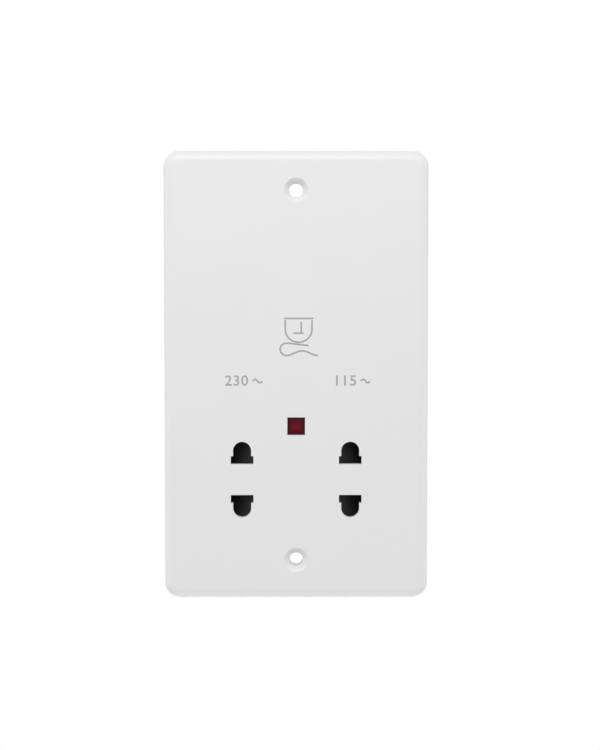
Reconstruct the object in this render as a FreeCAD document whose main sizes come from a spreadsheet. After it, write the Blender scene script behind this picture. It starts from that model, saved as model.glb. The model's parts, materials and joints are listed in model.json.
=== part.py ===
"""Dual-voltage shaver socket on a two-gang wall plate.

The plate stands upright: X runs right, Y runs into the wall, Z runs up.
The origin is the middle of the plate's rim, on the wall, half way between the fixing holes.
A pin pushes a ramp of the shutter sideways, which opens its own outlet and shuts the other one.
"""
import FreeCAD, Part
import os
import re
import Sketcher

# Driving dimensions in millimetres, each one a cell of the sheet.
SIZES = {
    # Wall plate
    "plate_width": 86,
    "plate_height": 146,
    "plate_depth": 7,
    "plate_corner": 5,
    "rim_round": 3,
    "face_wall": 2.5,
    "rim_wall": 2.4,
    "web_thick": 1.2,
    "web_drop": 1.5,
    "web_pitch": 38,
    # Fixing holes for the back box
    "fixing_pitch": 120.6,
    "fixing_bore": 4.5,
    "fixing_sink": 8,
    "fixing_boss": 10.5,
    "fixing_boss_gap": 1.05,
    # Pin slots of one outlet, measured from its middle
    "outlet_pitch": 35.3,
    "slot_inner": 5.05,
    "slot_outer": 12.4,
    "slot_width": 5.9,
    "blade_width": 7.4,
    "blade_height": 2.65,
    # Indicator lens
    "lens_window": 5.75,
    "lens_rise": 17.5,
    "lens_recess": 0.2,
    "lens_fit": 0.1,
    "lens_front": 1.2,
    "lens_bevel": 0.35,
    "lens_wall": 0.9,
    "lens_lip": 1.4,
    "lens_lip_thick": 1,
    # Neon lamp and its resistor
    "neon_bulb": 4,
    "neon_fit": 0.1,
    "neon_seat": 3.5,
    "neon_gap": 0.2,
    "neon_tab": 10,
    "neon_tab_depth": 5,
    "neon_lead": 0.6,
    "neon_lead_pitch": 1.8,
    "neon_lead_length": 3,
    "resistor_body": 2.4,
    "resistor_length": 6.5,
    "resistor_lead": 0.6,
    "resistor_lead_length": 3,
    "resistor_side": 14,
    # Interlock shutter
    "shutter_gap": 0.3,
    "shutter_lap": 0.5,
    "shutter_clear": 0.3,
    "shutter_toe": 1,
    "shutter_wall": 1.5,
    "shutter_margin": 1.2,
    "buffer_height": 6,
    # Bow springs that centre the shutter
    "spring_leaf": 0.3,
    "spring_width": 3.4,
    "spring_flare": 0.8,
    "spring_fit": 0.15,
    "spring_stack": 1,
    # Contact block behind the shutter
    "block_depth": 10.4,
    "block_fit": 0.4,
    "block_end_gap": 2.85,
    "rail_wall": 1.4,
    "prong_fit": 0.1,
    "guide_fit": 0.1,
    "guide_wall": 1.5,
    "well_side": 4.2,
    "well_margin": 0.8,
    "band_height": 8,
    "band_thick": 3,
    "post_inset": 5.6,
    "post_width": 5,
    "spigot_width": 2.8,
    "spigot_fit": 0.2,
    "spigot_reach": 0.6,
    "prong_width": 1.2,
    # Pin contacts
    "strip_thick": 0.4,
    "clip_root": 3.6,
    "clip_pinch": 1.7,
    "clip_mouth": 3.4,
    "clip_height": 6.5,
    "clip_pinch_depth": 4,
    "clip_mouth_gap": 0.6,
    "link_height": 4,
    "link_fit": 0.1,
    "tag_width": 0.8,
    "tag_height": 3,
    "tag_length": 3.1,
    "tag_fit": 0.3,
    # Plate that keeps the contacts in their wells
    "retainer_thick": 1.5,
    "retainer_margin": 1.3,
    "tag_room": 2,
    # Transformer
    "limb_half_width": 8,
    "core_stack": 16,
    "core_end_gap": 10,
    "bobbin_fit": 0.25,
    "bobbin_wall": 1,
    "bobbin_end_gap": 0.3,
    "coil_gap": 0.4,
    "tape_inset": 0.8,
    "tape_thick": 0.4,
    "tape_bevel": 2.5,
    "wrap_fit": 0.05,
    "pin_width": 1,
    "pin_length": 5,
    "pin_pitch": 5,
    "pin_inset": 2.6,
    "clamp_sheet": 0.8,
    "clamp_post": 13.2,
    "clamp_lip": 3,
    "clamp_lip_height": 10,
    "foot_height": 12,
    "foot_fit": 0.3,
    "cutout_width": 11,
    "cutout_height": 4.6,
    "cutout_thick": 3.2,
    "cutout_corner": 1,
    # Rear cover
    "cover_wall": 2,
    "cover_corner": 4,
    "cover_bevel": 1.2,
    "roof_gap": 1.9,
    "ear_side": 20,
    "ear_reach": 4,
    "ear_width": 8.4,
    "ear_thick": 2.5,
    "cover_boss": 6.4,
    "tongue_reach": 3,
    "tongue_fit": 0.2,
    "lug_wall": 2,
    "peg_width": 4,
    "vent_height": 2.5,
    "vent_pitch": 6,
    "vent_side": 19,
    "vent_depth": 12,
    # Supply terminals
    "terminal_pitch": 11,
    "terminal_width": 8,
    "terminal_height": 10,
    "terminal_depth": 8,
    "terminal_bore": 4.2,
    "terminal_bore_wall": 1.1,
    "terminal_fit": 0.2,
    "terminal_drop": 5,
    "terminal_base": 2.2,
    "terminal_wall": 1.6,
    "terminal_ear": 4,
    "hook_thick": 1.2,
    "hook_width": 5,
    "hook_barb": 0.8,
    "hook_length": 1.4,
    "hook_fit": 0.15,
    "lead_hole": 3,
    # Screws, each with its clear hole and its pilot hole
    "screw_shank": 2.8,
    "screw_clear": 3.2,
    "screw_pilot": 2.9,
    "screw_head": 5,
    "screw_head_thick": 1.8,
    "head_room": 0.15,
    "screw_slot": 0.8,
    "screw_slot_depth": 0.9,
    "screw_grip": 5,
    "pilot_spare": 0.5,
    "clamping_shank": 2.8,
    "clamping_hole": 2.9,
    "clamping_reach": 1.8,
    "clamping_tip_gap": 0.3,
}

# Places that follow from the sizes: Y levels first, then widths and heights.
PLACES = {
    "face_front": "-plate_depth",
    "face_back": "face_wall - plate_depth",
    "ramp_run": "blade_width + 2 * shutter_lap",
    "shutter_front": "face_back + shutter_gap",
    "shutter_back": "shutter_front + ramp_run + shutter_toe",
    "block_front": "shutter_back + shutter_gap",
    "guide_back": "block_front + guide_wall",
    "block_back": "block_front + block_depth",
    "retainer_back": "block_back + retainer_thick",
    "low_roof_in": "retainer_back + tag_room",
    "low_roof": "low_roof_in + cover_wall",
    "clamp_seat": "face_back + clamp_post",
    "core_front": "clamp_seat + clamp_sheet",
    "core_back": "core_front + core_stack",
    "core_middle": "core_front + core_stack / 2",
    "coil_half": "limb_half_width - coil_gap + core_stack / 2",
    "high_roof_in": "core_middle + coil_half + roof_gap",
    "high_roof": "high_roof_in + cover_wall",
    "shutter_reach": "outlet_pitch / 2 + blade_width / 2 + shutter_lap",
    "shutter_flat": "shutter_reach - ramp_run",
    "shutter_travel": "blade_width + shutter_lap + shutter_clear",
    "shutter_half": "slot_outer + shutter_margin",
    "core_half": "3 * limb_half_width",
    "clamp_half": "core_half + clamp_sheet",
    "foot_width": "screw_head + 2 * head_room",
    "foot_x": "clamp_half + foot_width / 2",
    "foot_end": "clamp_half + foot_width",
    "cover_half_in": "max(shutter_reach + shutter_travel + spring_stack; foot_end + foot_fit)",
    "cover_half": "cover_half_in + cover_wall",
    "block_half": "cover_half_in - block_fit",
    "block_half_height": "shutter_half + shutter_gap + rail_wall",
    "fixing_z": "fixing_pitch / 2",
    "cover_end": "fixing_z - fixing_boss / 2 - fixing_boss_gap",
    "cover_end_in": "cover_end - cover_wall",
    "outlet_z": "block_half_height + block_end_gap - cover_end_in",
    "block_top": "outlet_z + block_half_height",
    "band_top": "block_top + band_height",
    "lens_z": "outlet_z + lens_rise",
    "lens_half": "lens_window / 2 - lens_fit",
    "lens_back": "face_back + lens_lip_thick",
    "rail_start": "lens_half + lens_lip + prong_width",
    "post_x": "block_half - post_inset",
    "post_z": "block_top + band_height / 2",
    "core_top": "cover_end_in - core_end_gap",
    "core_low": "core_top - 5 * limb_half_width",
    "core_mid_z": "core_top - 2.5 * limb_half_width",
    "step_z": "core_low - core_end_gap",
    "ear_z": "cover_end + ear_reach",
    "well_outer": "slot_outer + well_margin",
    "clip_z": "(slot_inner + slot_outer) / 2",
    "retainer_half": "outlet_pitch / 2 + well_side + retainer_margin",
    "retainer_half_height": "well_outer + retainer_margin / 2",
    "terminal_z": "outlet_z - terminal_drop",
    "terminal_back": "low_roof + terminal_base + terminal_depth",
    "terminal_bore_y": "low_roof + terminal_base + terminal_bore_wall + terminal_bore / 2",
}

FRONT = "XZ_Plane"
PLAN = "XY_Plane"
SIDE = "YZ_Plane"
SIDES = ("-", "")
VENT_ROWS = (-2, -1, 0, 1, 2)
SIDE_VENT_ROWS = (-1.5, -0.5, 0.5, 1.5)
PIN_ROWS = (-2, -1, 0, 1, 2)
WEB_ROWS = (-1, 0, 1)
LEVEL_MATCH = 1e-6

# Coil former and windings around the middle limb.
COIL_LOW = "(core_low + limb_half_width + bobbin_end_gap)"
COIL_HIGH = "(core_top - limb_half_width - bobbin_end_gap)"
FLANGE_X = "(2 * limb_half_width - coil_gap)"
LIMB_X = "(limb_half_width + bobbin_fit)"
LIMB_Y = "(core_stack / 2 + bobbin_fit)"
TUBE_X = "(limb_half_width + bobbin_fit + bobbin_wall)"
TUBE_Y = "(core_stack / 2 + bobbin_fit + bobbin_wall)"

# Supply terminals and the comb around them.
TERMINALS = {
    "terminal_live": "-terminal_pitch",
    "terminal_neutral": "0",
    "terminal_earth": "terminal_pitch",
}
CELL_HALF = "(terminal_width / 2 + terminal_fit)"
COMB_HALF = f"(terminal_pitch + {CELL_HALF} + terminal_wall)"
HOOK_X = f"({COMB_HALF} + terminal_ear / 2)"
TERMINAL_SEAT = "low_roof + terminal_base"

doc = FreeCAD.newDocument("ShaverSocket")
sheet = doc.addObject("Spreadsheet::Sheet", "Sizes")
for row, (alias, size) in enumerate(SIZES.items(), 1):
    sheet.set(f"A{row}", alias)
    sheet.set(f"B{row}", str(size))
    sheet.setAlias(f"B{row}", alias)
doc.recompute()


def formula(text):
    """Spell a formula out in the sheet's cells."""

    def spell(match):
        word = match.group(0)
        if word in SIZES:
            return "Sizes." + word
        if word in PLACES:
            return f"({formula(PLACES[word])})"
        return word

    return re.sub(r"[a-z_]+", spell, text)


def value(text):
    """The number that a formula gives now."""
    return float(sheet.evalExpression(formula(text)))


def box(u_low, u_high, v_low, v_high):
    """The outline of a rectangle."""
    return [(u_low, v_low), (u_high, v_low), (u_high, v_high), (u_low, v_high)]


def block(u, v, width, height):
    """The outline of a rectangle around its middle."""
    across, up = f"({width}) / 2", f"({height}) / 2"
    return box(f"{u} - {across}", f"{u} + {across}", f"{v} - {up}", f"{v} + {up}")


def blocks(u, v, width, height):
    """A rectangle on each side of the middle."""
    return [block(f"{side}{u}", v, width, height) for side in SIDES]


def rounded(u_low, u_high, v_low, v_high, radius):
    """The outline of a rectangle with round corners: a point with a third item starts an arc."""
    return [
        (f"{u_low} + ({radius})", v_low),
        (f"{u_high} - ({radius})", v_low, radius),
        (u_high, f"{v_low} + ({radius})"),
        (u_high, f"{v_high} - ({radius})", radius),
        (f"{u_high} - ({radius})", v_high),
        (f"{u_low} + ({radius})", v_high, radius),
        (u_low, f"{v_high} - ({radius})"),
        (u_low, f"{v_low} + ({radius})", radius),
    ]


def bevelled(u_low, u_high, v_low, v_high, bevel):
    """The outline of a rectangle with its corners cut off."""
    return [point[:2] for point in rounded(u_low, u_high, v_low, v_high, bevel)]


def circle(u, v, width):
    """A full circle of the given diameter."""
    return (u, v, width)


def pair(u, v, width):
    """A circle on each side of the middle."""
    return [circle(f"{side}{u}", v, width) for side in SIDES]


def draw_circle(sketch, u, v, width):
    """Add one circle to a sketch and bind its middle and diameter."""
    middle = FreeCAD.Vector(value(u), value(v), 0)
    shape = Part.Circle(middle, FreeCAD.Vector(0, 0, 1), value(width) / 2)
    edge = sketch.addGeometry(shape, False)
    bind(sketch, Sketcher.Constraint("DistanceX", -1, 1, edge, 3, middle.x), u)
    bind(sketch, Sketcher.Constraint("DistanceY", -1, 1, edge, 3, middle.y), v)
    bind(sketch, Sketcher.Constraint("Diameter", edge, value(width)), width)


def bind(sketch, constraint, text):
    """Add a constraint whose value follows a formula."""
    index = sketch.addConstraint(constraint)
    sketch.setExpression(f"Constraints[{index}]", formula(text))


def arc_between(start, end, radius, hollow):
    """An arc of less than half a turn, with its middle left of the way to its end, or right if hollow."""
    chord = end - start
    rise = max(radius**2 - chord.Length**2 / 4, 0) ** 0.5
    left = FreeCAD.Vector(-chord.y, chord.x, 0).normalize()
    middle = (start + end) / 2 + left * (-rise if hollow else rise)
    full = Part.Circle(middle, FreeCAD.Vector(0, 0, 1), radius)
    first, last = (end, start) if hollow else (start, end)
    return Part.ArcOfCircle(full, full.parameter(first), full.parameter(last))


def draw_loop(sketch, points):
    """Add one closed outline to a sketch and bind each of its corners and radii."""
    spots = [FreeCAD.Vector(value(point[0]), value(point[1]), 0) for point in points]
    edges = []
    for index, point in enumerate(points):
        start, end = spots[index], spots[(index + 1) % len(spots)]
        if len(point) == 2:
            edge = sketch.addGeometry(Part.LineSegment(start, end), False)
            edges.append((edge, 1, 2))
            continue
        hollow = point[2].startswith("hollow ")
        radius = point[2].removeprefix("hollow ")
        edge = sketch.addGeometry(arc_between(start, end, value(radius), hollow), False)
        edges.append((edge, 2, 1) if hollow else (edge, 1, 2))
    for index, (edge, start, end) in enumerate(edges):
        follower = edges[(index + 1) % len(edges)]
        sketch.addConstraint(Sketcher.Constraint("Coincident", edge, end, follower[0], follower[1]))
    for (edge, start, end), spot, point in zip(edges, spots, points):
        bind(sketch, Sketcher.Constraint("DistanceX", -1, 1, edge, start, spot.x), point[0])
        bind(sketch, Sketcher.Constraint("DistanceY", -1, 1, edge, start, spot.y), point[1])
        if len(point) == 3:
            radius = point[2].removeprefix("hollow ")
            bind(sketch, Sketcher.Constraint("Radius", edge, value(radius)), radius)


def draw(owner, name, plane, level, loops):
    """Sketch closed loops on an origin plane of the body, moved to a level along the plane's own axis."""
    sketch = owner.newObject("Sketcher::SketchObject", f"{owner.Label}_{name}_outline")
    support = next(item for item in owner.Origin.OriginFeatures if item.Role == plane)
    sketch.AttachmentSupport = (support, "")
    sketch.MapMode = "FlatFace"
    way = "-" if plane == FRONT else ""
    sketch.setExpression("AttachmentOffset.Base.z", formula(f"{way}({level})"))
    for loop in loops:
        if isinstance(loop, tuple):
            draw_circle(sketch, *loop)
        else:
            draw_loop(sketch, loop)
    return sketch


def extrude(owner, kind, name, plane, low, high, loops):
    """Pad or pocket loops from one level to another: the front plane's normal points at the user, to -Y."""
    at_high = (kind == "Pad") == (plane == FRONT)
    sketch = draw(owner, name, plane, high if at_high else low, loops)
    feature = owner.newObject(f"PartDesign::{kind}", f"{owner.Label}_{name}")
    feature.Profile = sketch
    feature.setExpression("Length", formula(f"({high}) - ({low})"))
    doc.recompute()
    return feature


def pad(owner, name, plane, low, high, *loops):
    """Add material between two levels."""
    return extrude(owner, "Pad", name, plane, low, high, loops)


def pocket(owner, name, plane, low, high, *loops):
    """Cut material away between two levels, and make sure that the cut meets the solid."""
    before = owner.Shape.Volume
    feature = extrude(owner, "Pocket", name, plane, low, high, loops)
    if owner.Shape.Volume >= before:
        raise ValueError(f"{feature.Name} cuts nothing")
    return feature


def new_body(label):
    """An empty body in the document, which may hold a group of like solids."""
    owner = doc.addObject("PartDesign::Body", label)
    owner.Label = label
    owner.AllowCompound = True
    return owner


def dress_level(owner, kind, name, level, size):
    """Round or bevel every edge of the body that lies in one Y level."""
    base, height = owner.Tip, value(level)
    names = []
    for index, edge in enumerate(owner.Shape.Edges, 1):
        limits = edge.BoundBox
        if max(abs(limits.YMin - height), abs(limits.YMax - height)) < LEVEL_MATCH:
            names.append(f"Edge{index}")
    feature = owner.newObject(f"PartDesign::{kind}", f"{owner.Label}_{name}")
    feature.Base = (base, names)
    feature.setExpression("Radius" if kind == "Fillet" else "Size", formula(size))
    doc.recompute()


def pin_slots():
    """The four pin slots: a wide end for flat blades near the outlet's middle, a round end away from it."""
    return [pin_slot(f"{side}outlet_pitch / 2", way) for side in SIDES for way in SIDES]


def pin_slot(u, way):
    """One slot, seen from the front, above the outlet's middle or below it."""
    blade, half = "blade_width / 2", "slot_width / 2"
    levels = ("slot_inner", "slot_inner + blade_height", f"slot_outer - {half}", "slot_outer")
    inner, shoulder, crown, tip = [f"outlet_z {way or '+'} ({level})" for level in levels]
    ahead, behind = ("-", "+") if way else ("+", "-")
    return [
        (f"{u} {behind} {blade}", inner),
        (f"{u} {ahead} {blade}", inner),
        (f"{u} {ahead} {blade}", shoulder),
        (f"{u} {ahead} {half}", shoulder),
        (f"{u} {ahead} {half}", crown, half),
        (u, tip, half),
        (f"{u} {behind} {half}", crown),
        (f"{u} {behind} {half}", shoulder),
        (f"{u} {behind} {blade}", shoulder),
    ]


def behind_slots(width, height):
    """Four rectangles, one behind each pin slot."""
    loops = []
    for way in ("-", "+"):
        loops += blocks("outlet_pitch / 2", f"outlet_z {way} clip_z", width, height)
    return loops


def housing_inside():
    """The inner outline of the housing, the same in the plate's rib and in the rear cover."""
    limits = ("-cover_half_in", "cover_half_in", "-cover_end_in", "cover_end_in")
    return rounded(*limits, "cover_corner - cover_wall")


def ear_span(side):
    """The two sides of a cover ear or tongue."""
    return f"{side}ear_side - ear_width / 2", f"{side}ear_side + ear_width / 2"


def face_plate():
    """The moulded plate: a round-edged tray with slots in front, a rib, webs, posts and lugs behind."""
    plate = new_body("face_plate")
    half_width, half_height = "plate_width / 2", "plate_height / 2"
    outline = rounded(f"-{half_width}", half_width, f"-{half_height}", half_height, "plate_corner")
    pad(plate, "slab", FRONT, "face_front", "0", outline)
    dress_level(plate, "Fillet", "rim", "face_front", "rim_round")
    inner_width, inner_height = "(plate_width / 2 - rim_wall)", "(plate_height / 2 - rim_wall)"
    hollow = (f"-{inner_width}", inner_width, f"-{inner_height}", inner_height)
    pocket(plate, "hollow", FRONT, "face_back", "0", rounded(*hollow, "plate_corner - rim_wall"))
    rib = rounded("-cover_half", "cover_half", "-cover_end", "cover_end", "cover_corner")
    pad(plate, "rib", FRONT, "face_back", "0", rib, housing_inside())
    webs = []
    for row in WEB_ROWS:
        ends = (f"{row} * web_pitch - web_thick / 2", f"{row} * web_pitch + web_thick / 2")
        webs += [box(f"{side}cover_half", f"{side}{inner_width}", *ends) for side in SIDES]
    pad(plate, "webs", FRONT, "face_back", "-web_drop", *webs)
    fixing_pads = []
    for side in SIDES:
        ends = (f"{side}(fixing_z - fixing_boss / 2)", f"{side}{inner_height}")
        fixing_pads.append(box("-fixing_boss / 2", "fixing_boss / 2", *ends))
    cover_posts = blocks("ear_side", "ear_z", "cover_boss", "cover_boss")
    pad(plate, "fixing_pads", FRONT, "face_back", "0", *fixing_pads, *cover_posts)
    block_posts = blocks("post_x", "post_z", "post_width", "post_width")
    pad(plate, "block_posts", FRONT, "face_back", "block_front", *block_posts)
    spigots = blocks("post_x", "post_z", "spigot_width", "spigot_width")
    pad(plate, "spigots", FRONT, "block_front", "block_front + band_thick + spigot_reach", *spigots)
    clamp_posts = blocks("foot_x", "core_mid_z", "post_width", "post_width")
    pad(plate, "clamp_posts", FRONT, "face_back", "clamp_seat", *clamp_posts)
    cover_lugs(plate)
    depth = "(screw_grip + pilot_spare)"
    pocket(plate, "cover_pilots", FRONT, f"-{depth}", "0", *pair("ear_side", "ear_z", "screw_pilot"))
    clamp_pilots = pair("foot_x", "core_mid_z", "screw_pilot")
    pocket(plate, "clamp_pilots", FRONT, f"clamp_seat - {depth}", "clamp_seat", *clamp_pilots)
    pocket(plate, "slots", FRONT, "face_front", "face_back", *pin_slots())
    window = block("0", "lens_z", "lens_window", "lens_window")
    pocket(plate, "window", FRONT, "face_front", "face_back", window)
    fixing_holes(plate)
    return plate


def cover_lugs(plate):
    """Two hooked lugs that hold the tongues at the foot of the rear cover."""
    start = "-(cover_end + tongue_reach + tongue_fit)"
    under, over = "ear_thick + tongue_fit", "ear_thick + tongue_fit + lug_wall"
    lugs = [box(*ear_span(side), f"{start} - lug_wall", start) for side in SIDES]
    pad(plate, "lugs", FRONT, "face_back", over, *lugs)
    hooks = [box(*ear_span(side), start, "-(cover_end + 2 * tongue_fit)") for side in SIDES]
    pad(plate, "lug_hooks", FRONT, under, over, *hooks)


def fixing_holes(plate):
    """Countersunk holes for the screws of the back box."""
    spots = [circle("0", f"{side}fixing_z", "fixing_bore") for side in SIDES]
    sketch = draw(plate, "fixings", FRONT, "face_front", spots)
    doc.recompute()
    hole = plate.newObject("PartDesign::Hole", "face_plate_fixing_holes")
    hole.Profile = sketch
    hole.DepthType = "ThroughAll"
    hole.setExpression("Diameter", formula("fixing_bore"))
    hole.HoleCutType = "Countersink"
    hole.HoleCutCustomValues = True
    hole.setExpression("HoleCutDiameter", formula("fixing_sink"))
    hole.HoleCutCountersinkAngle = 90
    doc.recompute()


def indicator_lens():
    """A bevelled square cup of red plastic, pushed into its window from behind, with a lip on each side."""
    lens = new_body("indicator_lens")
    size = "2 * lens_half"
    pad(lens, "cup", FRONT, "face_front + lens_recess", "lens_back", block("0", "lens_z", size, size))
    pad(lens, "lips", FRONT, "face_back", "lens_back", block("0", "lens_z", f"{size} + 2 * lens_lip", size))
    bore = "2 * (lens_half - lens_wall)"
    floor = "face_front + lens_recess + lens_front"
    pocket(lens, "hollow", FRONT, floor, "lens_back", block("0", "lens_z", bore, bore))
    dress_level(lens, "Chamfer", "edge", "face_front + lens_recess", "lens_bevel")
    return lens


def neon_lamp():
    """A small glass lamp behind the lens, with two leads at its foot."""
    lamp = new_body("neon_lamp")
    foot = "block_front + neon_seat - neon_gap"
    tip = "lens_back + neon_gap"
    pad(lamp, "bulb", FRONT, tip, foot, circle("0", "lens_z", "neon_bulb"))
    leads = blocks("neon_lead_pitch / 2", "lens_z", "neon_lead", "neon_lead")
    pad(lamp, "leads", FRONT, foot, f"{foot} + neon_lead_length", *leads)
    return lamp


def neon_resistor():
    """The lamp's series resistor, lying along the back of the contact block's top band."""
    resistor = new_body("neon_resistor")
    level = "block_front + band_thick + resistor_body / 2"
    start = "resistor_side - resistor_length / 2"
    end = "resistor_side + resistor_length / 2"
    pad(resistor, "body", SIDE, start, end, circle(level, "post_z", "resistor_body"))
    whole = (f"{start} - resistor_lead_length", f"{end} + resistor_lead_length")
    pad(resistor, "leads", SIDE, *whole, block(level, "post_z", "resistor_lead", "resistor_lead"))
    return resistor


def shutter_slider():
    """The sliding shutter: a hollow bar with a ramp at each end and a buffer rail along its middle."""
    shutter = new_body("shutter_slider")
    low, high = "outlet_z - shutter_half", "outlet_z + shutter_half"
    toe = "shutter_back - shutter_toe"
    ramps = [
        ("-shutter_flat", "shutter_front"),
        ("shutter_flat", "shutter_front"),
        ("shutter_reach", toe),
        ("shutter_reach", "shutter_back"),
        ("-shutter_reach", "shutter_back"),
        ("-shutter_reach", toe),
    ]
    pad(shutter, "ramps", PLAN, low, high, ramps)
    rail = ("outlet_z - buffer_height / 2", "outlet_z + buffer_height / 2")
    reach = box("-shutter_reach", "shutter_reach", "shutter_front", "shutter_back")
    pad(shutter, "buffer", PLAN, *rail, reach)
    skin = "shutter_wall * sqrt(2)"
    roof = f"(shutter_flat + shutter_wall - {skin})"
    mouth = f"(shutter_reach + shutter_toe - {skin})"
    hollow = [
        (f"-{roof}", "shutter_front + shutter_wall"),
        (roof, "shutter_front + shutter_wall"),
        (mouth, "shutter_back"),
        (f"-{mouth}", "shutter_back"),
    ]
    pocket(shutter, "upper_hollow", PLAN, rail[1], f"{high} - shutter_wall", hollow)
    pocket(shutter, "lower_hollow", PLAN, f"{low} + shutter_wall", rail[0], hollow)
    end = "(shutter_reach - shutter_wall)"
    core = box(f"-{end}", end, "shutter_front + shutter_wall", "shutter_back")
    pocket(shutter, "rail_hollow", PLAN, f"{rail[0]} + shutter_wall", f"{rail[1]} - shutter_wall", core)
    return shutter


def return_spring(label, side):
    """A bowed leaf between the housing rib and the end of the shutter's buffer rail."""
    spring = new_body(label)
    wall = "(cover_half_in - spring_fit)"
    rise = f"({wall} - shutter_reach - spring_fit)"
    half = f"({rise} + spring_flare)"
    radius = f"(({half} ^ 2 + {rise} ^ 2) / (2 * {rise}))"
    inner = f"({radius} - spring_leaf)"
    inner_half = f"sqrt({inner} ^ 2 - ({radius} - {rise}) ^ 2)"
    top, low = ("+", "-") if not side else ("-", "+")
    leaf = [
        (f"{side}{wall}", f"outlet_z {top} {half}", radius),
        (f"{side}{wall}", f"outlet_z {low} {half}"),
        (f"{side}{wall}", f"outlet_z {low} {inner_half}", f"hollow {inner}"),
        (f"{side}{wall}", f"outlet_z {top} {inner_half}"),
    ]
    pad(spring, "leaf", FRONT, "shutter_front", "shutter_front + spring_width", leaf)
    return spring


def contact_block():
    """The moulded block: guides and wells for the pins, rails for the shutter, seats for lamp and lens."""
    carrier = new_body("contact_block")
    low, half = "outlet_z - block_half_height", "block_half"
    pad(carrier, "body", FRONT, "block_front", "block_back", box(f"-{half}", half, low, "block_top"))
    band = box(f"-{half}", half, "block_top", "band_top")
    pad(carrier, "band", FRONT, "block_front", "block_front + band_thick", band)
    tab = box("-neon_tab / 2", "neon_tab / 2", "block_top", "band_top")
    pad(carrier, "lamp_tab", FRONT, "block_front", "block_front + neon_tab_depth", tab)
    upper = "block_top - rail_wall"
    rails = [
        box(f"-{half}", half, low, f"{low} + rail_wall"),
        box(f"-{half}", "-rail_start", upper, "block_top"),
        box("rail_start", half, upper, "block_top"),
    ]
    pad(carrier, "rails", FRONT, "face_back", "block_front", *rails)
    prong_side = "(lens_half + lens_lip - prong_width / 2)"
    prongs = blocks(prong_side, "lens_z", "prong_width", "2 * prong_width")
    pad(carrier, "prongs", FRONT, "lens_back + prong_fit", "block_front", *prongs)
    wells = behind_slots("2 * well_side", "slot_outer - slot_inner + 2 * well_margin")
    pocket(carrier, "wells", FRONT, "guide_back", "block_back", *wells)
    guides = behind_slots("blade_width + 2 * guide_fit", "slot_outer - slot_inner + 2 * guide_fit")
    pocket(carrier, "guides", FRONT, "block_front", "guide_back", *guides)
    link = block("0", "outlet_z - clip_z", "outlet_pitch", "link_height + 2 * link_fit")
    pocket(carrier, "link_channel", FRONT, "block_back - strip_thick - link_fit", "block_back", link)
    seat = block("0", "lens_z", "neon_bulb + 2 * neon_fit", "neon_bulb + 2 * neon_fit")
    pocket(carrier, "lamp_seat", FRONT, "block_front", "block_front + neon_seat", seat)
    lead_room = "neon_lead + 2 * neon_fit"
    lead_slot = block("0", "lens_z", f"neon_lead_pitch + {lead_room}", lead_room)
    pocket(carrier, "lead_slot", FRONT, "block_front", "block_front + neon_tab_depth", lead_slot)
    spigot_hole = "spigot_width + 2 * spigot_fit"
    spigot_holes = blocks("post_x", "post_z", spigot_hole, spigot_hole)
    pocket(carrier, "spigot_holes", FRONT, "block_front", "block_front + band_thick", *spigot_holes)
    return carrier


def spring_clip(contact, name, u, v):
    """A pair of leaves that flare at the mouth and pinch a pin, folded from one strip."""
    pinch_y, mouth_y = "block_back - clip_pinch_depth", "guide_back + clip_mouth_gap"
    right = [
        ("(clip_root + strip_thick)", "block_back"),
        ("(clip_pinch + strip_thick)", pinch_y),
        ("(clip_mouth + strip_thick)", mouth_y),
        ("clip_mouth", mouth_y),
        ("clip_pinch", pinch_y),
        ("clip_root", "block_back - strip_thick"),
    ]
    outline = [(f"{u} + {x}", y) for x, y in right]
    outline += [(f"{u} - {x}", y) for x, y in reversed(right)]
    pad(contact, name, PLAN, f"{v} - clip_height / 2", f"{v} + clip_height / 2", outline)


def solder_tag(contact, name, u, v):
    """A tag that stands out through the retaining plate."""
    pad(contact, name, FRONT, "block_back", "block_back + tag_length", block(u, v, "tag_width", "tag_height"))


def outlet_contact(label, side):
    """The upper contact of one outlet, at that outlet's own voltage."""
    contact = new_body(label)
    u, v = f"{side}outlet_pitch / 2", "outlet_z + clip_z"
    spring_clip(contact, "clip", u, v)
    solder_tag(contact, "tag", u, v)
    return contact


def contact_common():
    """The lower contacts of both outlets, one strip with a clip at each end."""
    contact = new_body("contact_common")
    v = "outlet_z - clip_z"
    for name, side in zip(("left_clip", "right_clip"), SIDES):
        spring_clip(contact, name, f"{side}outlet_pitch / 2", v)
    link = block("0", v, "outlet_pitch", "link_height")
    pad(contact, "link", FRONT, "block_back - strip_thick", "block_back", link)
    solder_tag(contact, "tag", "0", v)
    return contact


def contact_retainer():
    """A flat plate that shuts the wells from behind, pressed on by the pegs of the rear cover."""
    retainer = new_body("contact_retainer")
    height = "retainer_half_height"
    slab = box("-retainer_half", "retainer_half", f"outlet_z - {height}", f"outlet_z + {height}")
    pad(retainer, "slab", FRONT, "block_back", "retainer_back", slab)
    tags = [("-outlet_pitch / 2", "+"), ("outlet_pitch / 2", "+"), ("0", "-")]
    width, tall = "tag_width + 2 * tag_fit", "tag_height + 2 * tag_fit"
    slits = [block(u, f"outlet_z {way} clip_z", width, tall) for u, way in tags]
    pocket(retainer, "slits", FRONT, "block_back", "retainer_back", *slits)
    return retainer


def hexagon(u, v, width):
    """A hexagon of the given width across its corners."""
    turns = ((1, 0), (0.5, 1), (-0.5, 1), (-1, 0), (-0.5, -1), (0.5, -1))
    return [(f"{u} + ({x}) * {width} / 2", f"{v} + ({y}) * {width} * sqrt(3) / 4") for x, y in turns]


def shanks(label, spots, low, high, width):
    """A group of like screws, so far without heads."""
    group = new_body(label)
    pad(group, "shanks", FRONT, low, high, *[circle(u, v, width) for u, v in spots])
    return group


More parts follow.
